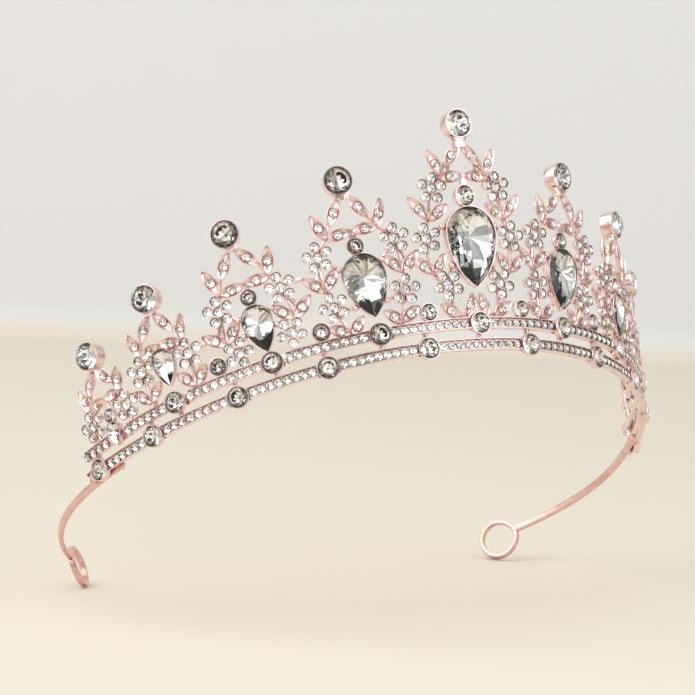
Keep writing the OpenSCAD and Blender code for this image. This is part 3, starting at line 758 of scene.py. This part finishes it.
def smooth_line(points, steps=5):
    """Catmull-Rom curve: on each span, the cubic whose slopes come from the neighbours."""
    p = np.array(points, float)
    p = np.concatenate([[2 * p[0] - p[1]], p, [2 * p[-1] - p[-2]]])
    t = np.linspace(0, 1, steps, endpoint=False)[None, :, None]
    a, b, c, d = (p[i:len(p) - 3 + i, None] for i in range(4))
    curve = 0.5 * (2 * b + (c - a) * t + (2 * a - 5 * b + 4 * c - d) * t ** 2
                   + (3 * b - a - 3 * c + d) * t ** 3)
    return np.concatenate([curve.reshape(-1, p.shape[1]), p[-2:-1]])


def sweep(path, normal, section, scale=None):
    """A closed section carried along a path: its first axis lies across, its second along
    the normals. scale is one number for each point of the path."""
    tangent = unit(np.gradient(path, axis=0), 1)
    across = unit(np.cross(tangent, normal), 1)
    normal = np.cross(across, tangent)
    size = np.ones(len(path)) if scale is None else scale
    return path[:, None] + size[:, None, None] * (section[None, :, :1] * across[:, None]
                                                   + section[None, :, 1:] * normal[:, None])


def circle_section(r, sides=8):
    """A circle of radius r."""
    a = np.arange(sides) * 2 * np.pi / sides
    return np.stack([np.cos(a), np.sin(a)], 1) * r


def capped(size):
    """Scales for a wire whose two ends close in a rounded point."""
    return np.r_[0, 0.75, size, 0.75, 0]


def wire(k, s, points, r=0.52, out=-0.3):
    """Round wire through points of a crest, on its side s, with closed round ends."""
    line = smooth_line(points) if len(points) > 2 else np.linspace(points[0], points[1], 7)
    u, v = on_plate(k, line[:, 0], line[:, 1])
    places = stand(s * u, v, out)
    path, normal = places[:, :3, 3], places[:, :3, 2]
    first, last = path[0] - path[1], path[-1] - path[-2]
    first, last = (r * d / np.linalg.norm(d) for d in (first, last))
    path = np.concatenate([[path[0] + first, path[0] + 0.7 * first], path,
                           [path[-1] + 0.7 * last, path[-1] + last]])
    normal = normal[np.r_[0, 0, np.arange(len(line)), -1, -1]]
    along = np.linspace(0, 1, len(line))
    size = capped(1 + 0.12 * np.cos(2 * np.pi * along * max(1, len(points) - 1)))
    return surface(sweep(path, normal, circle_section(r), size))


def two_wires(k, s, points):
    """A wire and its mirror image on a crest's other half."""
    return [wire(k, s, points), wire(k, s, [[-x, y] for x, y in points])]


def loft_bar(k, s, low_y, high_y, widths, depth, out):
    """Flat bar up a crest's middle line: widths from its lower to its upper end."""
    y = np.linspace(low_y, high_y, len(widths))
    rounded = np.array([(1, 0.6), (0.75, 1), (-0.75, 1), (-1, 0.6), (-1, -0.6), (-0.75, -1),
                        (0.75, -1), (1, -0.6)])
    shape = np.array([(x * w / 2, yy, z * depth / 2) for w, yy in zip(widths, y)
                      for x, z in rounded]).reshape(len(widths), 8, 3)
    shape = closed(shape)
    shape[..., 1] -= low_y
    return copies(surface(shape), mid_crest(k, s, low_y, out))


def crest_parts(k, s):
    """Everything of one crest's casting."""
    parts = leaf_parts(k, s) + [copies(FLOWER_CUP, petal_places(k, s, 0.0))]
    for y, flower in BEADS[k]:
        x = pear_side(k, y) + 0.8 - BITE
        parts.append(copies(BEAD, both_halves(k, s, [x], [y], 0.3)))
        parts += two_wires(k, s, [[x, y], FLOWERS[k][flower][:2]])
    for line in [STEMS[k]] + TIES[k]:
        parts += two_wires(k, s, line)
    if BARS[k]:
        parts.append(wire(k, s, BARS[k]))
    foot, cup_r = STEMS[k][-1], CREST_GEM / 2 + WALL
    wide = 2 * foot[0] + 0.8
    parts.append(loft_bar(k, s, foot[1] + 0.3, CREST_V[k] - cup_r + 0.5,
                          [wide, wide, wide * 0.98, wide * 1.05, wide * 1.2, wide * 1.36],
                          1.5, -0.25))
    if DROP_D[k]:
        d = DROP_D[k]
        top = LEAVES[k][2][1] + 0.6
        parts.append(copies(shallow_cup(d), mid_crest(k, s, DROP_V[k])))
        parts.append(loft_bar(k, s, DROP_V[k] + d / 2 + 0.1, top, [2.0, 1.8, 2.0, 2.4], 0.9,
                              -0.05))
    return parts


# %% [markdown]
# ## Cups
# The large round stones sit in deep closed cups with a thin rim that is pressed over the
# girdle; a fine groove under the rim catches the light. The profile starts at the middle of
# the closed back and ends under the stone.

# %% Round cups
def cup_template(d, below, above=0.35, sides=28):
    """Closed cup for a round stone of diameter d whose girdle lies at height 0."""
    r, g = d / 2 + WALL, d / 2
    return lathe([(0, -below - 0.05), (0.55 * r, -below), (0.88 * r, -below + 0.08),
                  (0.97 * r, -below + 0.35), (r, -0.45), (r - 0.06, -0.28), (r - 0.06, -0.2),
                  (r, -0.05), (r - 0.01, above - 0.14), (r - 0.09, above - 0.01),
                  (g + SHOW - 0.05, above), (g + SHOW - 0.09, above - 0.12),
                  (g + SHOW + 0.02, -0.05), (0.5 * g, -0.19 * d), (0, -0.34 * d)], sides)


def shallow_cup(d):
    """Cup for a round stone of diameter d, as deep as its point needs."""
    return cup_template(d, 0.3 * d + 0.2)


for k, s in CREST_KEYS:
    make_piece(f"{tag(k, s)}_casting", crest_parts(k, s), [CASTING], [f"{tag(k, s)}_crest"])
    make_piece(f"{tag(k, s)}_cup",
               [copies(cup_template(CREST_GEM, CREST_CUP_H, sides=36),
                       mid_crest(k, s, CREST_V[k], GEM_LIFT))],
               [BRIGHT], [f"{tag(k, s)}_crest_cup"])

rail_cup = cup_template(RAIL_GEM, RAIL_GEM_OUT + CUP_FLOOR)
make_piece("rail_stone_cups", [copies(rail_cup, stand(LOWS, 0, RAIL_GEM_OUT)),
                               copies(rail_cup, on_upper(FEET, RAIL_GEM_OUT))],
           [BRIGHT], ["rail_cups"])
make_piece("dip_stone_cups", [copies(shallow_cup(DIP_GEM), stand(DIPS, DIP_V, DIP_LIFT))],
           [BRIGHT], ["dip_settings"])


# %% [markdown]
# ## Pear settings
# A pear stone lies in a low wall that follows its outline. The wall is a small profile
# carried round the pear's curve: the profile's points are (distance outside the stone,
# height), and each level of the wall is the outline grown by that distance.

# %% Pear settings
def pear_setting(w, h, count=44):
    """Wall and closed back of a pear setting; the stone's girdle stands at height 0.5."""
    bend = np.linspace(-np.pi / 2, 1.5 * np.pi, count, endpoint=False)
    levels = [(None, -0.1 - 0.2 * w), (-0.26 * w, -0.5 - 0.1 * w), (-0.2, -0.95), (0.3, -0.86),
              (0.4, -0.5), (0.4, 0.5), (0.34, 0.62),
              (0.4, 0.75), (0.4, 1.06), (0.34, 1.2), (0.22, 1.2), (0.14, 1.06),
              (0.23, 0.5), (-0.3, 0.3), (-0.25 * w, -0.1 * w), (None, 0.3 - 0.2 * w)]
    grown = []
    for grow, z in levels:
        if grow is None:
            flat = np.repeat([[0, 0.13 * h]], count, 0)
        else:
            flat = pear_outline(w + 2 * grow, h + 2 * grow)(bend)
        grown.append(np.column_stack([flat, np.full(count, z)]))
    return surface(np.stack(grown))


for k, s in CREST_KEYS:
    make_piece(f"{tag(k, s)}_pear_wall",
               [copies(pear_setting(PEAR_W[k], PEAR_H[k]), mid_crest(k, s, PEAR_V[k]))],
               [BRIGHT], [f"{tag(k, s)}_pear_setting"])


# %% [markdown]
# ## Rails
# Each rail is one profile carried round the ring: a plain back with rounded edges, and in
# front a channel between two thin lips. Fine grains of metal, pushed up from the lips, hold
# the small stones; they stand in the gaps between neighbours.

# %% Rails, grains and posts
def rail_section():
    """Section of a rail, (outwards, upwards), with its channel in front."""
    t, h = RAIL_T / 2, RAIL_H / 2
    half = [(t - CHANNEL, 0), (t - CHANNEL, h - 0.3), (t - 0.1, h - 0.28), (t, h - 0.22),
            (t, h - 0.08), (t - 0.1, h), (-t + 0.35, h), (-t + 0.08, h - 0.3), (-t, 0)]
    points = np.array(half + [(x, -y) for x, y in half[-2:0:-1]])
    c, s = np.cos(-RAIL_LEAN), np.sin(-RAIL_LEAN)
    return points @ np.array([[c, s], [-s, c]])


def rail_surface(raised, cups, run=RAIL_RUN, steps=180):
    """The section carried round the ring, closed at both ends. Behind each cup its front is
    cut back to the cup's floor: x becomes min(x, -0.6)."""
    edges = np.concatenate([np.asarray(cups) + e for e in (-2.62, -2.58, 2.58, 2.62)])
    u = np.unique(np.r_[np.linspace(-run, run, steps), edges[np.abs(edges) < run]])
    steps, angle = len(u), u / RING_R
    section = np.repeat(rail_section()[None], steps, 0)
    near = np.abs(u[:, None] - np.asarray(cups)[None]).min(1) < 2.6
    section[near, :, 0] = np.minimum(section[near, :, 0], -0.6)
    radius = RING_R + section[..., 0]
    y0 = MID_Y - (RAIL_RISE * np.tan(FLARE) if raised else 0)
    z0 = RAIL_Z + (RAIL_RISE if raised else 0)
    return surface(closed(np.stack([np.sin(angle)[:, None] * radius,
                                    y0 - np.cos(angle)[:, None] * radius,
                                    z0 + section[..., 1]], -1)))


PEAR_FEET = np.array([foot_u(4, s) for s in (-1, 1)])
GRAIN = lathe([(0, -0.12), (0.16, -0.04), (0.14, 0.1), (0, 0.17)], 6)


def grains(row, place):
    """Two grains on each side of a small stone, on both lips."""
    spots = np.sort(row)
    u = np.concatenate([spots - PAVE_PITCH / 2, spots + PAVE_PITCH / 2])
    lips = [place(u, RAIL_T / 2 - 0.1) @ shift(0, side * (PAVE_GEM / 2 - 0.12), 0)
            for side in (-1, 1)]
    return copies(GRAIN, np.concatenate(lips))


def on_lower(u, out=0.0):
    """Matrices on the lower rail."""
    return stand(u, 0, out)


for name, raised, stops, row, place in (
        ("lower_rail", False, LOWS, LOW_PAVE, on_lower),
        ("upper_rail", True, np.r_[FEET, PEAR_FEET], UP_PAVE, on_upper)):
    make_piece(f"{name}_strip", [rail_surface(raised, stops), grains(row, place)], [CASTING],
               [name])
POST = lathe([(0, -1.3), (0.74, -1.3), (0.66, -0.8), (0.62, 0), (0.66, 0.8), (0.74, 1.3),
              (0, 1.3)], 12)
post_u = np.unique(np.round(np.r_[LOWS, FEET], 6))
make_piece("posts", [copies(POST, stand(post_u, RAIL_RISE / 2, -0.45) @ turn(np.pi / 2, 1, 2))],
           [CASTING], ["rail_posts"])

# %% [markdown]
# ## Arms and loops
# Each arm is a flat strip with rounded edges. It starts in a round pad behind the rail's
# end, follows the ring, and then bends in behind the ear. Its end is curled into a loop:
# nearly a circle, drawn out a little towards the arm where the curl closes on itself.

# %% Arms and loops
ARM_W, ARM_T, ARM_R, ARM_DROP = 1.8, 1.2, 46.0, 1.0
ARM_FROM, ARM_TURN, ARM_END = 98.0, np.radians(82), np.radians(132)
ARM_LINE = RING_R - RAIL_T / 2 - ARM_T / 2
LOOP_R, LOOP_BAND, LOOP_T = 4.6, 1.3, 1.6


def soft_box(wide, deep, edge=0.3):
    """Rectangle with rounded corners, three points at each."""
    a = np.radians([0, 45, 90])
    corner = np.stack([np.cos(a), np.sin(a)], 1) * edge + [wide / 2 - edge, deep / 2 - edge]
    right = np.concatenate([corner * [1, -1], corner[::-1]])[np.r_[2, 1, 0, 5, 4, 3]]
    return np.concatenate([right, right[::-1] * [-1, 1]])


def arm_parts(s):
    """The strip of an arm from its pad to its loop."""
    straight = np.linspace(ARM_FROM / RING_R, ARM_TURN, 24)
    bent = np.linspace(ARM_TURN, ARM_END, 34)[1:]
    inner = ARM_LINE - ARM_R
    x = np.r_[ARM_LINE * np.sin(straight), inner * np.sin(ARM_TURN) + ARM_R * np.sin(bent)]
    y = -np.r_[ARM_LINE * np.cos(straight), inner * np.cos(ARM_TURN) + ARM_R * np.cos(bent)]
    heading = np.r_[straight, bent]
    path = np.stack([s * x, MID_Y + y, np.full(len(x), RAIL_Z - ARM_DROP)], -1)
    normal = np.stack([s * np.sin(heading), -np.cos(heading), 0 * heading], -1)
    path = np.concatenate([path[:1], path, path[-1:]])
    normal = np.concatenate([normal[:1], normal, normal[-1:]])
    size = np.r_[0, np.ones(len(x)), 0]
    sweep_path = path + np.linspace(0, 1e-4, len(path))[:, None]
    strip = surface(sweep(sweep_path, normal, soft_box(ARM_W, ARM_T), size))
    pad = lathe([(0, -0.6), (0.9, -0.6), (1.2, -0.3), (1.2, 0.35), (0.95, 0.6), (0, 0.62)], 20)
    seat = (shift(0, MID_Y, RAIL_Z - ARM_DROP) @ turn(s * ARM_FROM / RING_R, 0, 1)
            @ shift(0, -ARM_LINE, 0) @ turn(np.pi / 2, 1, 2))
    end = (x[-1], y[-1], ARM_END)
    return [strip, copies(pad, seat)], end


def loop_parts(s, end):
    """Loop whose middle line is r = LOOP_R + 0.4 cos(t)^6 towards the arm."""
    reach = LOOP_R + 0.36
    cx = end[0] + reach * np.cos(end[2])
    cy = end[1] + reach * np.sin(end[2])
    t = np.linspace(0, 2 * np.pi, 56, endpoint=False)
    r = LOOP_R + 0.4 * np.maximum(np.cos(t), 0) ** 6
    back = np.array([-np.cos(end[2]), -np.sin(end[2]), 0]) * [s, 1, 1]
    up = np.array([0, 0, 1.0])
    centre = np.array([s * cx, MID_Y + cy, RAIL_Z - ARM_DROP - 1.0])
    radial = np.cos(t)[:, None] * back + np.sin(t)[:, None] * up
    axis = np.cross(back, up)
    section = soft_box(LOOP_BAND, LOOP_T, 0.38)
    points = (centre + r[:, None, None] * radial[:, None]
              + section[None, :, :1] * radial[:, None] + section[None, :, 1:] * axis)
    return [surface(points, wrap_rows=True)]


for s in (-1, 1):
    strip_parts, arm_end = arm_parts(s)
    make_piece(f"{SIDES[s]}_arm_strip", strip_parts, [SATIN], [f"{SIDES[s]}_arm"])
    make_piece(f"{SIDES[s]}_loop", loop_parts(s, arm_end), [SATIN], [f"{SIDES[s]}_eye"])

# %% [markdown]
# ## Floor and backdrop
# The tiara stands on its two loops with its front raised, so the floor is a plane through
# the loops that slopes in the tiara's own frame. The sheet runs away from the camera and
# sweeps up into a wall. It is one-sided, so it never hides the piece from other sides.

# %% Stage
CAMERA_AT = np.array([-564.191, MID_Y - 79.73 - 821.258, RAIL_Z - 422.477])
RIGHT, DOWN, FORWARD, UP = (unit(np.array(v)) for v in (
    (0.868, -0.423, -0.260), (-0.033, 0.474, -0.880), (0.496, 0.772, 0.397), (0.0, -0.59, 0.807)))
SHEET, SHEET_HALF, BEND = 1500.0, 1800, 12.0    # length and half width of the sheet; its sweep


def node_points(name):
    """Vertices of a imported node, in millimetres."""
    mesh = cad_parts[name].data
    co = np.zeros(len(mesh.vertices) * 3)
    mesh.vertices.foreach_get("co", co)
    return co.reshape(-1, 3) / MM


FLOOR_LEVEL = min((node_points(f"{side}_eye") @ UP).min() for side in ("left", "right"))
AWAY = unit(FORWARD - (FORWARD @ UP) * UP)
ACROSS = np.cross(AWAY, UP)
reach = (CAMERA_AT @ UP - FLOOR_LEVEL) / -(FORWARD @ UP)
WALL_FOOT = CAMERA_AT + FORWARD * reach


def backdrop():
    """Floor, quarter-round sweep and wall: a line in the plane of AWAY and UP, carried across."""
    a = np.linspace(0, np.pi / 2, 24)[1:]
    along = np.r_[np.linspace(-SHEET, -BEND, 12), -BEND + BEND * np.sin(a), 0.0]
    above = np.r_[np.zeros(12), BEND - BEND * np.cos(a), SHEET]
    across = np.linspace(-SHEET_HALF, SHEET_HALF, 5)
    points = (WALL_FOOT + along[:, None, None] * AWAY + above[:, None, None] * UP
              + across[None, :, None] * ACROSS)
    quads = grid_faces(*points.shape[:2], wrap_cols=False)
    mesh = bpy.data.meshes.new("backdrop")
    mesh.from_pydata((points.reshape(-1, 3) * MM).tolist(), [], quads.tolist())
    mesh.polygons.foreach_set("use_smooth", np.full(len(quads), True))
    if mesh.polygons[0].normal.dot(UP) < 0:
        mesh.flip_normals()
    sheet = in_scene("backdrop", mesh)
    return sheet


def paper_finish():
    """Matt paper: cream on the floor, cooler on the wall, clear from behind."""
    m, t, shader = new_finish("paper", Roughness=0.9, Specular_IOR_Level=0.1)
    where = node(t, "ShaderNodeTexCoord")
    height = node(t, "ShaderNodeVectorMath", operation="DOT_PRODUCT")
    height.inputs[1].default_value = tuple(UP)
    blend = node(t, "ShaderNodeMapRange", interpolation_type="SMOOTHSTEP",
                 From_Min=(FLOOR_LEVEL + 1) * MM, From_Max=(FLOOR_LEVEL + 8) * MM)
    tone = node(t, "ShaderNodeMix", data_type="RGBA")
    tone.inputs[FIRST].default_value = (0.80, 0.745, 0.64, 1)
    tone.inputs[SECOND].default_value = (0.82, 0.826, 0.83, 1)
    clear = node(t, "ShaderNodeBsdfTransparent")
    side = node(t, "ShaderNodeNewGeometry")
    mix = node(t, "ShaderNodeMixShader")
    connect(t, (where, "Object", height, 0), (height, "Value", blend, "Value"),
            (blend, "Result", tone, FACTOR), (tone, MIXED, shader, "Base Color"),
            (side, "Backfacing", mix, 0), (shader, 0, mix, 1), (clear, 0, mix, 2),
            (mix, 0, t.nodes["Material Output"], "Surface"))
    return m


backdrop().data.materials.append(paper_finish())

# %% [markdown]
# ## Light
# Soft light from a large panel above and to the left, a smaller one from the right, and a
# pale room all round. The room has a few darker stretches, because crystal only looks like
# crystal when there is something dark for its facets to find.

# %% Lights and room
def set_up(thing, right, up, behind, place):
    """Turns an object's X, Y and Z axes to three directions and puts it at a place."""
    axes = np.stack([right, up, behind], 1)
    thing.matrix_world = Matrix([[*axes[i], place[i] * MM] for i in range(3)] + [[0, 0, 0, 1]])


def panel(name, place, size, power, colour):
    """Square area light at a place, turned towards the middle of the front."""
    light = bpy.data.lights.new(name, "AREA")
    light.size, light.energy, light.color = size * MM, power, colour
    look = unit(HEART - place)
    side = unit(np.cross(look, UP))
    set_up(in_scene(name, light), side, np.cross(side, look), -look, place)


HEART = np.array([0, MID_Y - RING_R, RAIL_Z + 20])
panel("key", HEART - 420 * ACROSS + 520 * UP - 260 * AWAY, 900, 3.4, (1, 0.98, 0.96))
panel("fill", HEART + 520 * ACROSS + 260 * UP - 320 * AWAY, 500, 1.2, (0.97, 0.98, 1))


def room():
    """Pale room: soft dark stretches for reflections, plain pale grey where it is seen itself."""
    w = bpy.data.worlds.new("room")
    bpy.context.scene.world = w
    w.use_nodes = True
    t = w.node_tree
    back = t.nodes["Background"]
    where = node(t, "ShaderNodeTexCoord")
    cloud = node(t, "ShaderNodeTexNoise", Scale=2.0, Detail=0.0)
    ramp = node(t, "ShaderNodeMapRange", From_Min=0.34, From_Max=0.58, To_Min=0.55, To_Max=1.8)
    ray = node(t, "ShaderNodeLightPath")
    tone = node(t, "ShaderNodeMix", data_type="RGBA")
    tone.inputs[SECOND].default_value = (0.80, 0.79, 0.76, 1)
    connect(t, (where, "Generated", cloud, "Vector"), (cloud, 0, ramp, "Value"),
            (ray, "Is Camera Ray", tone, FACTOR), (ramp, "Result", tone, FIRST),
            (tone, MIXED, back, "Color"))
    back.inputs["Strength"].default_value = 0.54


room()
bpy.context.scene.view_settings.view_transform = "Standard"

# %% [markdown]
# ## Camera
# The camera looks from the left, a little above the floor, through a long lens that
# flattens the ring's perspective.

# %% Camera
lens = bpy.data.cameras.new("camera")
lens.lens, lens.sensor_width = 235.1, 36
lens.clip_start, lens.clip_end = 0.05, 20
camera = in_scene("camera", lens)
set_up(camera, RIGHT, -DOWN, -FORWARD, CAMERA_AT)
bpy.context.scene.camera = camera
